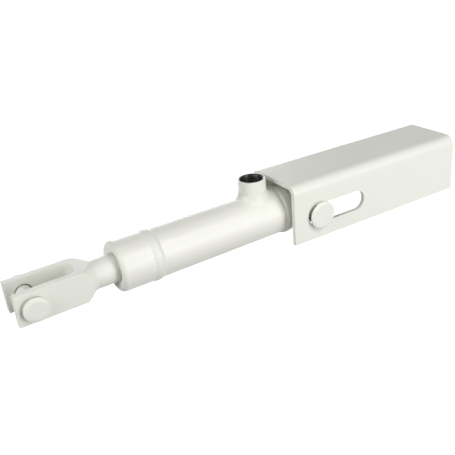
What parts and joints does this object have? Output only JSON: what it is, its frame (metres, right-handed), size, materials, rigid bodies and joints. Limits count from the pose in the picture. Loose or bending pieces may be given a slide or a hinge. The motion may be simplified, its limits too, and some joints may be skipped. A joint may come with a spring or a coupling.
{
  "type": "hydraulic actuating cylinder with slotted bracket",
  "caption": "Short hydraulic cylinder with a clevis fork and a hose port, pinned through the slots of an open channel bracket.",
  "frame": {"origin": "on the bracket's flat top face, in its mid-plane, right above the rear pin's axis", "axes": "+X along the bracket away from the fork, +Z out of the bracket's top face, -Y the side with the pins' heads"},
  "size_m": [0.4146, 0.0743, 0.0579],
  "materials": {
    "bracket_paint": "semi-gloss off-white paint on folded sheet",
    "cylinder_paint": "semi-gloss off-white paint over tube and weld beads",
    "fork_paint": "semi-gloss off-white paint on a forging",
    "pin_paint": "semi-gloss off-white paint on turned heads",
    "zinc_plate": "bright zinc plate",
    "plain_steel": "turned steel, lightly oiled",
    "hard_chrome": "ground hard chrome",
    "bronze": "turned bearing bronze",
    "black_rubber": "matt nitrile rubber"
  },
  "bodies": {
    "bracket": {"bracket": "bracket_paint"},
    "rear_pin": {"rear_pin": "pin_paint", "rear_washer": "zinc_plate", "rear_split_pin": "zinc_plate"},
    "barrel": {"barrel_tube": "cylinder_paint", "cylinder_head": "cylinder_paint", "head_weld": "cylinder_paint", "rear_weld": "cylinder_paint", "port_boss": "cylinder_paint", "port_weld": "cylinder_paint", "gland_nut": "cylinder_paint", "wiper_seal": "black_rubber", "rod_seal": "black_rubber", "rod_guide": "bronze", "rear_cap": "cylinder_paint", "rear_bush": "plain_steel"},
    "piston": {"piston": "plain_steel", "piston_seal": "black_rubber", "piston_guide": "bronze"},
    "rod": {"piston_rod": "hard_chrome", "piston_nut": "plain_steel", "fork": "fork_paint"},
    "clevis_pin": {"clevis_pin": "pin_paint", "clevis_washer": "zinc_plate", "clevis_split_pin": "zinc_plate"}
  },
  "joints": [
    {"name": "slot_slide", "type": "slide", "parent": "bracket", "child": "rear_pin", "axis": [1, 0, 0], "range_m": [-0.0042, 0.004]},
    {"name": "rear_swivel", "type": "hinge", "parent": "rear_pin", "child": "barrel", "pos_m": [0, 0, -0.0308], "axis": [0, 1, 0], "range_deg": [-90, 5]},
    {"name": "rod_slide", "type": "slide", "parent": "barrel", "child": "piston", "axis": [-0.9998, 0, -0.0214], "range_m": [0, 0.055]},
    {"name": "rod_turn", "type": "hinge", "parent": "piston", "child": "rod", "pos_m": [-0.17101, 0, -0.03196], "axis": [-0.9998, 0, -0.0214], "continuous": true},
    {"name": "clevis_pin_spin", "type": "hinge", "parent": "rod", "child": "clevis_pin", "pos_m": [-0.2385, 0, -0.0334], "axis": [0, 1, 0], "continuous": true}
  ]
}
